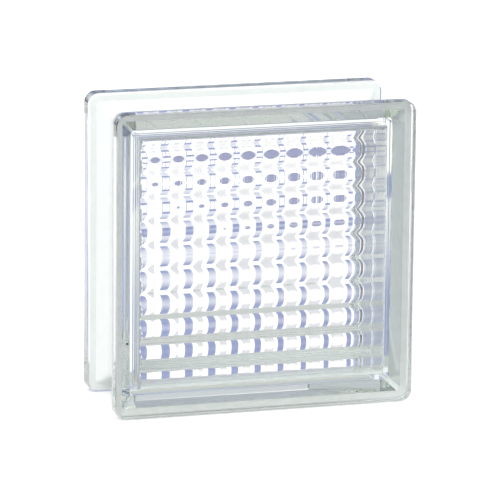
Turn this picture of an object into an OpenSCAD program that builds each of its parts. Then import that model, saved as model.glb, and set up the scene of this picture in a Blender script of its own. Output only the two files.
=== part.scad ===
// Hollow glass block with cross reeding: one fused piece of pressed glass.
// Two pressed halves are melted together at the middle of the depth. Each has a flat
// face with a flange round it, and waves on its inner side: level waves behind the front
// face and upright waves behind the back face, so that they cross. The flanges leave a
// channel for mortar round the four edges. The block stands on its bottom edge, with the
// origin at the middle of that edge, the front face towards -Y and +Z up.

/* [Block] */
// Width across the face
block_width = 190; // [140:1:300]
// Height up the face
block_height = 190; // [140:1:300]
// Depth from the front face to the back face
block_depth = 80; // [60:1:120]

/* [Flanges] */
// Thickness of each flange at its rim, measured along the depth
flange_thickness = 11; // [8:0.5:16]
// Radius of the flange's corners, seen from the front
corner_radius = 7; // [5:0.5:12]
// Radius that rounds the flange's rim on both sides
rim_radius = 1.5; // [1:0.25:3.5]

/* [Mortar channel] */
// How far the channel's floor lies inside the flange's rim
channel_recess = 12; // [8:0.5:16]
// How far inside the rim the flange stays flat, before its flank slants down to the floor
flank_start = 5.5; // [3:0.5:7]
// Depth over which a flank slants down to the channel's floor
flank_depth = 8; // [4:0.5:12]

/* [Glass] */
// Thickness of the side walls, from the channel's floor to the hollow inside
wall_thickness = 3; // [2:0.5:10]
// Thickness of each face at the valleys of its waves
face_thickness = 9; // [4:0.5:12]
// Radius of the inner edges, where the faces and the side walls meet
inner_radius = 6; // [1:0.5:8]
// Radius of the inner edges between two side walls
corner_wall_radius = 2.5; // [1:0.5:8]

/* [Reeding] */
// Distance from the crest of one wave to the next
wave_pitch = 15; // [8:0.5:24]
// Height of a wave, from valley to crest
wave_height = 2; // [0.5:0.25:3]
// Height of the nearest crest above the middle of the face, for the level waves
level_offset = -6.25; // [-7:0.25:7]
// Distance of the nearest crest to the right of the middle, for the upright waves
upright_offset = -4.5; // [-7:0.25:7]

/* [Hidden] */
$fn = 64;
// Straight steps that draw one wave
wave_steps = 16;
glass_colour = [0.86, 0.93, 0.89];
hollow_width = block_width - 2 * (channel_recess + wall_thickness);
hollow_height = block_height - 2 * (channel_recess + wall_thickness);
hollow_depth = block_depth - 2 * face_thickness;
channel_width = block_depth - 2 * flange_thickness;
floor_width = channel_width - 2 * flank_depth;

// Height of the waves above their valleys, at a distance u from one of their crests
function wave(u) = wave_height / 2 * (1 + cos(360 * u / wave_pitch));

// Bar along X with an outline given as (up, depth)
module along_x(length) {
    rotate([0, -90, 0]) linear_extrude(length, center = true) children();
}

// Bar along Y with an outline given as (across, up)
module along_y(length) {
    rotate([90, 0, 0]) linear_extrude(length, center = true) children();
}

// Bar along Z with an outline given as (across, depth)
module along_z(length) {
    linear_extrude(length, center = true) children();
}

// Rectangle round the origin with round corners
module round_rectangle(width, height, radius) {
    square([width - 2 * radius, height], center = true);
    square([width, height - 2 * radius], center = true);
    for (side = [-1, 1], end = [-1, 1])
        translate([side * (width / 2 - radius), end * (height / 2 - radius)]) circle(radius);
}

// One flange: a plate with round corners and a rounded rim
module flange() {
    along_x(block_width - 2 * corner_radius)
        round_rectangle(block_height, flange_thickness, rim_radius);
    along_z(block_height - 2 * corner_radius)
        round_rectangle(block_width, flange_thickness, rim_radius);
    for (side = [-1, 1], end = [-1, 1])
        translate([side * (block_width / 2 - corner_radius), 0, end * (block_height / 2 - corner_radius)])
            rotate([90, 0, 0]) rotate_extrude() intersection() {
                round_rectangle(2 * corner_radius, flange_thickness, rim_radius);
                translate([0, -flange_thickness / 2]) square([corner_radius, flange_thickness]);
            }
}

// Outline of the web across one direction: its flanks slant out to the flanges
module web_outline(span) {
    wide = span / 2 - flank_start;
    narrow = span / 2 - channel_recess;
    flange_middle = (block_depth - flange_thickness) / 2;
    quarter = [[0, 0], [narrow, 0], [narrow, floor_width / 2], [wide, channel_width / 2],
        [wide, flange_middle], [0, flange_middle]];
    for (side = [0, 1], end = [0, 1]) mirror([side, 0]) mirror([0, end]) polygon(quarter);
}

// The web between the flanges, whose outside is the floor of the mortar channel
module web() {
    intersection() {
        along_x(block_width) web_outline(block_height);
        along_z(block_height) web_outline(block_width);
    }
}

// Outline of the hollow across one face's waves, with the waves at its lower side
module hollow_outline(span, offset) {
    count = ceil(span / wave_pitch) * wave_steps;
    line = [for (i = [0 : count])
        let (u = span * (i / count - 0.5)) [u, wave(u - offset) - hollow_depth / 2]];
    intersection() {
        round_rectangle(span, hollow_depth, inner_radius);
        polygon(concat(line, [[span / 2, hollow_depth], [-span / 2, hollow_depth]]));
    }
}

// The sealed space inside: level waves at the front, upright waves at the back
module hollow() {
    intersection() {
        along_x(hollow_width) hollow_outline(hollow_height, level_offset);
        along_z(hollow_height) mirror([0, 1]) hollow_outline(hollow_width, upright_offset);
        along_y(hollow_depth) round_rectangle(hollow_width, hollow_height, corner_wall_radius);
    }
}

module glass_block() {
    color(glass_colour) translate([0, 0, block_height / 2]) difference() {
        union() {
            for (side = [-1, 1]) translate([0, side * (block_depth - flange_thickness) / 2, 0]) flange();
            web();
        }
        hollow();
    }
}

glass_block();
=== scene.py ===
"""Dresses the glass block: clear glass, a matte coat on its mortar faces, studio, light and camera."""
import math

import bmesh
import bpy
import numpy as np
from mathutils import Matrix, Vector


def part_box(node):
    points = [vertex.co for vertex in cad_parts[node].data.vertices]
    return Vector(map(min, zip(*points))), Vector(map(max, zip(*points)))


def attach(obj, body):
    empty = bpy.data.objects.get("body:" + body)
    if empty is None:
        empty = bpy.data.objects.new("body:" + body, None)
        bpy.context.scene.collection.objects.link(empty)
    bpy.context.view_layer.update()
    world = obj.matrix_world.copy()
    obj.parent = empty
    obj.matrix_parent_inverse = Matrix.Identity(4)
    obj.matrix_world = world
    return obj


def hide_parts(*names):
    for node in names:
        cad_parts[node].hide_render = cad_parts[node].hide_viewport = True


MM = 0.001

# Sizes in millimetres, the same as in the part's source
FLANGE_THICKNESS = 11.0
CORNER_RADIUS = 7.0
RIM_RADIUS = 1.5
CHANNEL_RECESS = 12.0
FLANK_START = 5.5
FLANK_DEPTH = 8.0
WALL_THICKNESS = 3.0
FACE_THICKNESS = 9.0
INNER_CORNER_RADIUS = 2.5
WAVE_PITCH = 15.0
WAVE_HEIGHT = 2.0
LEVEL_OFFSET = -6.25
UPRIGHT_OFFSET = -4.5

# Fine shapes that only the dressed part has, in millimetres
INNER_CURVE_WIDTH = 3.0
INNER_CURVE_DEPTH = 20.0
SEAM_HEIGHT = 0.6
SEAM_HALF_WIDTH = 1.6
COAT_GAP = 0.1
COAT_THICKNESS = 0.15

# Steps that draw the curves, and the angle in degrees past which an edge stays sharp
STEPS_PER_WAVE = 14
CURVE_STEPS = 8
SEAM_STEPS = 5
SHARP_ANGLE = 25

# Places of the two coats in the block's list of materials, after the glass; the flange coat carries
# painted shade
CHANNEL_COAT = 1
FLANGE_COAT_PAINTED_SHADE = 2

# Sizes of the studio in metres
FLOOR_RADIUS = 1.7
SURROUND_RADIUS = 3.2

# Studio colours
WHITE = (1.2, 1.2, 1.2)
# Blue for painted shadow behind the block and at its right, seen only in the glass
SHADOW_BLUE = (0.30, 0.35, 0.62)
LILAC = (0.33, 0.35, 0.56)
# Grey for a painted contact shadow under the block, seen only in the glass
SHADOW_GREY = (0.6, 0.63, 0.62)
PALE = (0.42, 0.43, 0.52)

# Tinted zones of the surround: azimuth and elevation of the middle, reach of the full tint
# and of its fading edge, all in degrees, and the tint
ZONES = (
    (18, 41, 28, 45, (0.40, 0.44, 0.72)),
    (180, 26, 18, 37, (0.015, 0.015, 0.03)),
    (-90, 0, 20, 32, (0.02, 0.025, 0.03)),
    (84, 0, 37, 49, (0.42, 0.47, 0.82)),
    (0, -90, 48, 54, (0.45, 0.49, 0.62)),
    (-138, -6, 38, 46, (0.02, 0.025, 0.035)),
    (165, -12, 14, 22, (0.62, 0.65, 0.69)),
    (-165, 73, 16, 24, (0.62, 0.65, 0.69)),
)

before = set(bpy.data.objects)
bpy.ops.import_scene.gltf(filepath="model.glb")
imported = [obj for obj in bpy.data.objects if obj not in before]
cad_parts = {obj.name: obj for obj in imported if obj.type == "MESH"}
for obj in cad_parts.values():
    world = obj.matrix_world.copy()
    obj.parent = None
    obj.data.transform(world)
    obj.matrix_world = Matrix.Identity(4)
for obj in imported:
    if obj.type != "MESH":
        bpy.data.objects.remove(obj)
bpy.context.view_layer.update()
low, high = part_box("glass_block")
HALF_WIDTH = (high.x - low.x) / 2 / MM
HALF_HEIGHT = (high.z - low.z) / 2 / MM
HALF_DEPTH = (high.y - low.y) / 2 / MM
MIDDLE = (low + high) / 2


def arc(across, along, radius, start, end):
    """Points of a circular curve from one angle to another, in degrees."""
    angles = [math.radians(start + (end - start) * i / CURVE_STEPS) for i in range(CURVE_STEPS + 1)]
    return [(across + radius * math.cos(a), along + radius * math.sin(a)) for a in angles]


def seam_bump(step):
    """Height of the seam's bead at a step from -SEAM_STEPS to SEAM_STEPS."""
    return SEAM_HEIGHT / 2 * (1 + math.cos(math.pi * step / SEAM_STEPS))


def seam_place(step):
    """Distance of a step of the seam's bead from the middle of the depth."""
    return SEAM_HALF_WIDTH * step / SEAM_STEPS


def rim_profile():
    """Both round edges of a flange's rim, as (distance inside the rim, depth from the face)."""
    points = arc(RIM_RADIUS, RIM_RADIUS, RIM_RADIUS, 270, 180)
    return points + arc(RIM_RADIUS, FLANGE_THICKNESS - RIM_RADIUS, RIM_RADIUS, 180, 90)


def channel_profile():
    """Half of the mortar channel from the flange to the seam, in the same terms as the rim."""
    points = [(FLANK_START, FLANGE_THICKNESS), (CHANNEL_RECESS, FLANGE_THICKNESS + FLANK_DEPTH)]
    for step in range(-SEAM_STEPS, 1):
        points.append((CHANNEL_RECESS - seam_bump(step), HALF_DEPTH + seam_place(step)))
    return points


def outside_ring(inset, depth):
    """Points round the block's outside at one depth, a rectangle with round corners."""
    radius = max(CORNER_RADIUS - inset, INNER_CORNER_RADIUS)
    points = []
    for side, end, start in ((1, 1, 0), (-1, 1, 90), (-1, -1, 180), (1, -1, 270)):
        for i in range(CURVE_STEPS + 1):
            angle = math.radians(start + 90 * i / CURVE_STEPS)
            across = side * (HALF_WIDTH - inset - radius) + radius * math.cos(angle)
            up = end * (HALF_HEIGHT - inset - radius) + radius * math.sin(angle)
            points.append((across, depth - HALF_DEPTH, up))
    return points


def add_rings(profile, points):
    """Adds a ring of points round the block for each point of a profile, and returns the rings."""
    rows = []
    for inset, depth in profile:
        start = len(points)
        points += outside_ring(inset, depth)
        rows.append(range(start, len(points)))
    return rows


def join_rows(rows, faces):
    """Adds a band of faces between each row of points and the next, all the way round."""
    for first, second in zip(rows[:-1], rows[1:]):
        for i in range(len(first)):
            j = (i + 1) % len(first)
            faces.append((first[i], first[j], second[j], second[i]))


def mirrored(profile):
    """A profile from one face, as seen from the other face and in reverse order."""
    return [(inset, 2 * HALF_DEPTH - depth) for inset, depth in reversed(profile)]


def add_outside(points, faces):
    """Adds the outside: flat faces, round rims, mortar channel and seam."""
    half = rim_profile() + channel_profile()
    rows = add_rings(half + mirrored(half[:-1]), points)
    join_rows(rows, faces)
    faces.append(tuple(reversed(rows[0])))
    faces.append(tuple(rows[-1]))


def hollow_lines(half_span, offset):
    """Places of the grid lines across the hollow, close together on the inner curves at both ends."""
    turns = [math.radians(90 * i / CURVE_STEPS) for i in range(CURVE_STEPS + 1)]
    edge = [half_span - INNER_CURVE_WIDTH * (1 - math.sin(turn)) for turn in turns]
    step = WAVE_PITCH / STEPS_PER_WAVE
    reach = int(half_span / step) + STEPS_PER_WAVE
    waves = [offset + step * i for i in range(-reach, reach + 1)]
    waves = [place for place in waves if abs(place) < edge[0] - step / 2]
    return np.array([-place for place in reversed(edge)] + waves + edge)


def wave(distance):
    """Height of the waves above their valleys, at a distance from a crest."""
    return WAVE_HEIGHT / 2 * (1 + np.cos(2 * np.pi * distance / WAVE_PITCH))


def inner_curve(place, half_span):
    """Height of the curve where a face meets a side wall, above the valleys of the waves."""
    reach = np.clip((np.abs(place) - half_span) / INNER_CURVE_WIDTH + 1, 0, 1)
    return INNER_CURVE_DEPTH * (1 - np.sqrt(1 - reach * reach))


def round_corners(across, up, half_width, half_height):
    """Draws the square corners of the hollow's grid in to round ones."""
    radius = INNER_CORNER_RADIUS
    past_side = np.clip((np.abs(across) - half_width) / radius + 1, 0, 1)
    past_end = np.clip((np.abs(up) - half_height) / radius + 1, 0, 1)
    across = across - np.sign(across) * radius * past_side * (1 - np.sqrt(1 - past_end ** 2 / 2))
    up = up - np.sign(up) * radius * past_end * (1 - np.sqrt(1 - past_side ** 2 / 2))
    return across, up


def grid_edge(grid):
    """Points round the edge of a grid, in order."""
    return [*grid[:-1, 0], *grid[-1, :-1], *grid[:0:-1, -1], *grid[0, :0:-1]]


def add_hollow(points, faces):
    """Adds the sealed hollow: level waves in front, upright waves behind, side walls and seam."""
    half_width = HALF_WIDTH - CHANNEL_RECESS - WALL_THICKNESS
    half_height = HALF_HEIGHT - CHANNEL_RECESS - WALL_THICKNESS
    columns = hollow_lines(half_width, UPRIGHT_OFFSET)
    lines = hollow_lines(half_height, LEVEL_OFFSET)
    across, up = np.meshgrid(columns, lines, indexing="ij")
    curve = np.maximum(inner_curve(across, half_width), inner_curve(up, half_height))
    front = FACE_THICKNESS - HALF_DEPTH + np.maximum(wave(up - LEVEL_OFFSET), curve)
    back = HALF_DEPTH - FACE_THICKNESS - np.maximum(wave(across - UPRIGHT_OFFSET), curve)
    across, up = round_corners(across, up, half_width, half_height)

    across_count, up_count = across.shape
    first = len(points)
    points += np.stack([across, front, up], axis=-1).reshape(-1, 3).tolist()
    points += np.stack([across, back, up], axis=-1).reshape(-1, 3).tolist()
    front_grid = first + np.arange(across_count * up_count).reshape(across_count, up_count)
    back_grid = front_grid + across_count * up_count
    for i in range(across_count - 1):
        for j in range(up_count - 1):
            for grid in (front_grid, back_grid[:, ::-1]):
                faces.append((grid[i, j], grid[i + 1, j], grid[i + 1, j + 1], grid[i, j + 1]))

    rows = [grid_edge(front_grid)]
    for step in range(-SEAM_STEPS, SEAM_STEPS + 1):
        start = len(points)
        shrink = 1 - seam_bump(step) / half_width
        points += [(points[i][0] * shrink, seam_place(step), points[i][2] * shrink) for i in rows[0]]
        rows.append(range(start, len(points)))
    rows.append(grid_edge(back_grid))
    join_rows(rows, faces)


def coat_line(gap):
    """Profile of one side of the coat from flange to flange, at a gap from the glass."""
    half = [(RIM_RADIUS, FLANGE_THICKNESS)] + channel_profile()[:-1]
    line = [(inset - gap, depth + gap) for inset, depth in half]
    return line + mirrored(line)


def add_coat(points, faces):
    """Adds the matte coat as a thin closed sheet over the channel, from one flange to the other."""
    inside = coat_line(COAT_GAP)
    outside = coat_line(COAT_GAP + COAT_THICKNESS)
    rows = add_rings(inside + outside[::-1], points)
    join_rows(rows + rows[:1], faces)


def make_glass_block():
    """Makes the block's mesh, with smooth curves and flat faces."""
    points, faces = [], []
    add_outside(points, faces)
    outside_count = len(faces)
    add_hollow(points, faces)
    glass_count = len(faces)
    add_coat(points, faces)
    mesh = bpy.data.meshes.new("glass_block_dressed")
    mesh.from_pydata([MIDDLE + Vector(point) * MM for point in points], [], faces)
    work = bmesh.new()
    work.from_mesh(mesh)
    bmesh.ops.recalc_face_normals(work, faces=work.faces)
    work.faces.ensure_lookup_table()
    bmesh.ops.reverse_faces(work, faces=work.faces[outside_count:glass_count])
    work.to_mesh(mesh)
    work.free()
    # The flats of the flanges get the greyer coat, which is painted shade
    for face in mesh.polygons[:outside_count]:
        depth = HALF_DEPTH - abs(face.center.y - MIDDLE.y) / MM
        if abs(depth - FLANGE_THICKNESS) < COAT_GAP / 10:
            face.material_index = FLANGE_COAT_PAINTED_SHADE
    for face in mesh.polygons[glass_count:]:
        face.material_index = CHANNEL_COAT
    mesh.shade_smooth()
    mesh.set_sharp_from_angle(angle=math.radians(SHARP_ANGLE))
    block = bpy.data.objects.new("glass_block_dressed", mesh)
    bpy.context.scene.collection.objects.link(block)
    normals = block.modifiers.new("flat faces stay flat", "WEIGHTED_NORMAL")
    normals.keep_sharp = True
    normals.weight = 100
    return block


def clear_glass():
    """Clear pressed glass with a faint green tint where it is thick."""
    material = bpy.data.materials.new("clear_glass_dressed")
    material.use_nodes = True
    tree = material.node_tree
    tree.nodes.clear()
    output = tree.nodes.new("ShaderNodeOutputMaterial")
    glass = tree.nodes.new("ShaderNodeBsdfPrincipled")
    glass.inputs["Transmission Weight"].default_value = 1
    glass.inputs["Base Color"].default_value = (1, 1, 1, 1)
    glass.inputs["Roughness"].default_value = 0
    glass.inputs["IOR"].default_value = 1.51
    tint = tree.nodes.new("ShaderNodeVolumeAbsorption")
    tint.inputs["Color"].default_value = (0.72, 0.82, 0.66, 1)
    tint.inputs["Density"].default_value = 4.5
    clear = tree.nodes.new("ShaderNodeBsdfTransparent")
    clear.inputs["Color"].default_value = (0.9, 0.92, 0.9, 1)
    path = tree.nodes.new("ShaderNodeLightPath")
    mix = tree.nodes.new("ShaderNodeMixShader")
    tree.links.new(path.outputs["Is Shadow Ray"], mix.inputs["Fac"])
    tree.links.new(glass.outputs["BSDF"], mix.inputs[1])
    tree.links.new(clear.outputs["BSDF"], mix.inputs[2])
    tree.links.new(mix.outputs["Shader"], output.inputs["Surface"])
    tree.links.new(tint.outputs["Volume"], output.inputs["Volume"])
    return material


def matte_coat(name, dark, light):
    """Matte paint with a fine mottle between two shades, as a material and its shader node."""
    material = bpy.data.materials.new(name)
    material.use_nodes = True
    tree = material.node_tree
    paint = tree.nodes["Principled BSDF"]
    paint.inputs["Roughness"].default_value = 0.7
    place = tree.nodes.new("ShaderNodeTexCoord")
    mottle = tree.nodes.new("ShaderNodeTexNoise")
    mottle.inputs["Scale"].default_value = 220
    mottle.inputs["Detail"].default_value = 4
    tree.links.new(place.outputs["Object"], mottle.inputs["Vector"])
    shades = tree.nodes.new("ShaderNodeValToRGB")
    shades.color_ramp.elements[0].position = 0.35
    shades.color_ramp.elements[0].color = (*dark, 1)
    shades.color_ramp.elements[1].position = 0.65
    shades.color_ramp.elements[1].color = (*light, 1)
    tree.links.new(mottle.outputs["Fac"], shades.inputs["Fac"])
    tree.links.new(shades.outputs["Color"], paint.inputs["Base Color"])
    return material, paint


def channel_coat():
    """White coat that lets mortar grip the glass, and lets some light through."""
    material, paint = matte_coat("channel_coat", (0.90, 0.93, 0.91), (0.94, 0.965, 0.95))
    tree = material.node_tree
    glow = tree.nodes.new("ShaderNodeBsdfTranslucent")
    glow.inputs["Color"].default_value = (0.925, 0.95, 0.945, 1)
    share = tree.nodes.new("ShaderNodeMixShader")
    share.inputs["Fac"].default_value = 0.4
    tree.links.new(paint.outputs["BSDF"], share.inputs[1])
    tree.links.new(glow.outputs["BSDF"], share.inputs[2])
    tree.links.new(share.outputs["Shader"], tree.nodes["Material Output"].inputs["Surface"])
    return material


def flange_coat_painted_shade():
    """The coat on the flanges, a shade greyer than in the channel: painted shade on the flats that
    show through the thick glass.
    """
    # The greyer shades are painted shade: the same white coat as in the channel, darkened
    material, _ = matte_coat("flange_coat_painted_shade", (0.87, 0.90, 0.88), (0.93, 0.955, 0.94))
    return material


def make_floor():
    """A round pale floor, wide enough to fill the camera's view, that the glass doesn't show."""
    mesh = bpy.data.meshes.new("floor")
    work = bmesh.new()
    bmesh.ops.create_circle(work, cap_ends=True, radius=FLOOR_RADIUS, segments=96)
    work.to_mesh(mesh)
    work.free()
    floor = bpy.data.objects.new("floor", mesh)
    bpy.context.scene.collection.objects.link(floor)
    material = bpy.data.materials.new("pale_floor")
    material.use_nodes = True
    paint = material.node_tree.nodes["Principled BSDF"]
    paint.inputs["Base Color"].default_value = (0.9, 0.9, 0.9, 1)
    paint.inputs["Roughness"].default_value = 0.9
    mesh.materials.append(material)
    floor.visible_transmission = False


def direction(azimuth, elevation):
    """Unit vector of a direction, in degrees to the right of +Y and above the horizon."""
    a, e = math.radians(azimuth), math.radians(elevation)
    return Vector((math.sin(a) * math.cos(e), math.cos(a) * math.cos(e), math.sin(e)))


def make_world():
    """Plain pale studio light from all round."""
    world = bpy.data.worlds.new("studio")
    bpy.context.scene.world = world
    world.use_nodes = True
    background = world.node_tree.nodes["Background"]
    background.inputs["Color"].default_value = (1, 1, 1, 1)
    background.inputs["Strength"].default_value = 1.3


def only_in_glass(thing):
    """Lets a studio thing show in the glass, and nowhere else."""
    bpy.context.scene.collection.objects.link(thing)
    thing.visible_camera = False
    thing.visible_diffuse = False
    thing.visible_shadow = False


def add_glow(mesh):
    """Gives a studio mesh a glowing material; returns its node tree, glow and output."""
    material = bpy.data.materials.new(mesh.name)
    material.use_nodes = True
    material.cycles.emission_sampling = "NONE"
    mesh.materials.append(material)
    tree = material.node_tree
    tree.nodes.clear()
    output = tree.nodes.new("ShaderNodeOutputMaterial")
    glow = tree.nodes.new("ShaderNodeEmission")
    return tree, glow, output


def make_surround():
    """Dome round the block that shows in the glass: pale, with blue, lilac and dark parts."""
    mesh = bpy.data.meshes.new("surround")
    work = bmesh.new()
    bmesh.ops.create_icosphere(work, subdivisions=5, radius=SURROUND_RADIUS)
    work.to_mesh(mesh)
    work.free()
    only_in_glass(bpy.data.objects.new("surround", mesh))
    tree, glow, output = add_glow(mesh)
    place = tree.nodes.new("ShaderNodeTexCoord")
    way = tree.nodes.new("ShaderNodeVectorMath")
    way.operation = "NORMALIZE"
    tree.links.new(place.outputs["Object"], way.inputs[0])
    colour = None
    for azimuth, elevation, full, none, tint in ZONES:
        share = tree.nodes.new("ShaderNodeVectorMath")
        share.operation = "DOT_PRODUCT"
        share.inputs[1].default_value = direction(azimuth, elevation)
        tree.links.new(way.outputs["Vector"], share.inputs[0])
        fade = tree.nodes.new("ShaderNodeMapRange")
        fade.interpolation_type = "SMOOTHSTEP"
        fade.inputs["From Min"].default_value = math.cos(math.radians(none))
        fade.inputs["From Max"].default_value = math.cos(math.radians(full))
        tree.links.new(share.outputs["Value"], fade.inputs["Value"])
        mix = tree.nodes.new("ShaderNodeMix")
        mix.data_type = "RGBA"
        mix.inputs["B"].default_value = (*tint, 1)
        if colour is None:
            mix.inputs["A"].default_value = (*WHITE, 1)
        else:
            tree.links.new(colour, mix.inputs["A"])
        tree.links.new(fade.outputs["Result"], mix.inputs["Factor"])
        colour = mix.outputs["Result"]
    tree.links.new(colour, glow.inputs["Color"])
    tree.links.new(glow.outputs["Emission"], output.inputs["Surface"])


def cover_share(tree, cover):
    """Node output with the share that a panel hides at each height, from (height, share) pairs."""
    place = tree.nodes.new("ShaderNodeTexCoord")
    split = tree.nodes.new("ShaderNodeSeparateXYZ")
    tree.links.new(place.outputs["Object"], split.inputs["Vector"])
    lowest, highest = cover[0][0], cover[-1][0]
    height = tree.nodes.new("ShaderNodeMapRange")
    height.inputs["From Min"].default_value = lowest
    height.inputs["From Max"].default_value = highest
    tree.links.new(split.outputs["Z"], height.inputs["Value"])
    ramp = tree.nodes.new("ShaderNodeValToRGB")
    stops = ramp.color_ramp.elements
    stops.remove(stops[0])
    for i, (level, share) in enumerate(cover):
        at = (level - lowest) / (highest - lowest)
        stop = stops[0] if i == 0 else stops.new(at)
        stop.position = at
        stop.color = (share, share, share, 1)
    tree.links.new(height.outputs["Result"], ramp.inputs["Fac"])
    return ramp.outputs["Color"]


def panel(name, sheets, colour, cover=None):
    """A panel of one or more sheets that shows in the glass, partly clear where a cover says so."""
    points, faces = [], []
    for corners in sheets:
        faces.append(range(len(points), len(points) + len(corners)))
        points += corners
    mesh = bpy.data.meshes.new(name)
    mesh.from_pydata(points, [], faces)
    only_in_glass(bpy.data.objects.new(name, mesh))
    tree, glow, output = add_glow(mesh)
    glow.inputs["Color"].default_value = (*colour, 1)
    surface = glow.outputs["Emission"]
    if cover:
        clear = tree.nodes.new("ShaderNodeBsdfTransparent")
        mix = tree.nodes.new("ShaderNodeMixShader")
        tree.links.new(cover_share(tree, cover), mix.inputs["Fac"])
        tree.links.new(clear.outputs["BSDF"], mix.inputs[1])
        tree.links.new(surface, mix.inputs[2])
        surface = mix.outputs["Shader"]
    tree.links.new(surface, output.inputs["Surface"])


def upright(start, end, bottom, top):
    """Corners of an upright sheet over the line from one place on the floor to another."""
    return [(*start, bottom), (*end, bottom), (*end, top), (*start, top)]


def make_back_panels():
    """Panels behind the block, in metres, that give the glass its blue bars and lilac dots; the blue
    is painted shadow, seen only in the glass.
    """
    # A blue sheet far behind: painted shadow that the glass shows as its blue bars
    panel("painted_shadow_blue_panel", [upright((-1.6, 2.0), (0.33, 2.0), -0.9, 0.095)], SHADOW_BLUE)

    # A white veil that hides more of the blue the higher it gets, apart from a clear slit
    veil_bottom, slit_bottom, slit_top, veil_top = 0.03, 0.097, 0.110, 0.114
    veil = [(veil_bottom, 0), (0.07, 0.5), (0.094, 0.65)]
    veil += [(slit_bottom, 0), (slit_top, 0), (veil_top, 1)]
    panel("white_veil", [upright((-0.3, 0.135), (0.4, 0.135), veil_bottom, veil_top)], WHITE, veil)

    # A row of slanted white fins above the veil
    fin_count, first_left, fin_pitch, fin_width, fin_top = 18, -0.09, 0.012, 0.0127, 0.148
    fin_near, fin_far = 0.125, 0.15
    fins = []
    for i in range(fin_count):
        left = first_left + fin_pitch * i
        fins.append(upright((left, fin_near), (left + fin_width, fin_far), veil_top, fin_top))
    panel("white_fins", fins, WHITE)

    lilac_place = 0.53
    corners = [(0.10, 0.165), (0.30, 0.075), (0.9, 0.075), (0.9, 0.7), (0.10, 0.7)]
    panel("lilac_panel", [[(across, lilac_place, up) for across, up in corners]], LILAC)


def make_side_panels():
    """Panels to the right of the block and under it, in metres, that give grey and blue edges: painted
    shade at the right and a painted contact shadow under the block.
    """
    right, bottom, top = 0.25, -0.3, 0.3
    side_start, side_end, pale_end, pale_top = -0.2, 0.15, 0.6, 0
    # A blue sheet at the right with a clear gap, and a darker half-clear one beyond it: painted shade,
    # seen only in the glass
    side = [(bottom, 1), (-0.05, 1), (-0.01, 0), (0.06, 0), (0.09, 1), (top, 1)]
    panel("painted_shade_side_panel", [upright((right, side_start), (right, side_end), bottom, top)], SHADOW_BLUE, side)
    pale = [(bottom, 0.5), (-0.06, 0.5), (-0.01, 0), (pale_top, 0)]
    panel("pale_panel", [upright((right, side_end), (right, pale_end), bottom, pale_top)], PALE, pale)
    # A grey sheet on the floor under the block: a painted contact shadow, seen only in the glass
    shadow_reach, shadow_front, shadow_back = 0.1, -0.05, 0.10
    shadow = [(-shadow_reach, shadow_front, 0), (shadow_reach, shadow_front, 0)]
    shadow += [(shadow_reach, shadow_back, 0), (-shadow_reach, shadow_back, 0)]
    panel("shadow_panel", [shadow], SHADOW_GREY)


def make_lights():
    """Soft light from the upper left in front."""
    sun = bpy.data.lights.new("soft_light", "SUN")
    sun.energy = 1.4
    sun.angle = math.radians(50)
    lamp = bpy.data.objects.new("soft_light", sun)
    bpy.context.scene.collection.objects.link(lamp)
    lamp.rotation_euler = (math.radians(45), 0, math.radians(-35))


def make_camera():
    """Camera at the photograph's angle, fitted to the outline of the block."""
    azimuth, elevation, roll = 16.56, 13.32, 0.60
    distance, focal_pixels, image_width = 2.709, 4380.0, 500
    middle_x, middle_y = 248.3, 246.3
    back = -direction(azimuth, -elevation)
    level = Vector((math.cos(math.radians(azimuth)), -math.sin(math.radians(azimuth)), 0))
    upward = back.cross(level)
    turn = math.radians(roll)
    right = level * math.cos(turn) + upward * math.sin(turn)
    up = upward * math.cos(turn) - level * math.sin(turn)
    data = bpy.data.cameras.new("camera")
    data.sensor_width = 36
    data.lens = focal_pixels / image_width * data.sensor_width
    data.shift_x = (image_width / 2 - middle_x) / image_width
    data.shift_y = (middle_y - image_width / 2) / image_width
    camera = bpy.data.objects.new("camera", data)
    bpy.context.scene.collection.objects.link(camera)
    place = Matrix((right, up, back)).transposed().to_4x4()
    place.translation = MIDDLE + back * distance
    camera.matrix_world = place
    bpy.context.scene.camera = camera


block = make_glass_block()
block.data.materials.append(clear_glass())
block.data.materials.append(channel_coat())
block.data.materials.append(flange_coat_painted_shade())
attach(block, "root")
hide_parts("glass_block")
make_floor()
make_world()
make_surround()
make_back_panels()
make_side_panels()
make_lights()
make_camera()

scene = bpy.context.scene
scene.view_settings.view_transform = "Standard"
scene.cycles.max_bounces = 32
scene.cycles.transmission_bounces = 32
scene.cycles.glossy_bounces = 16
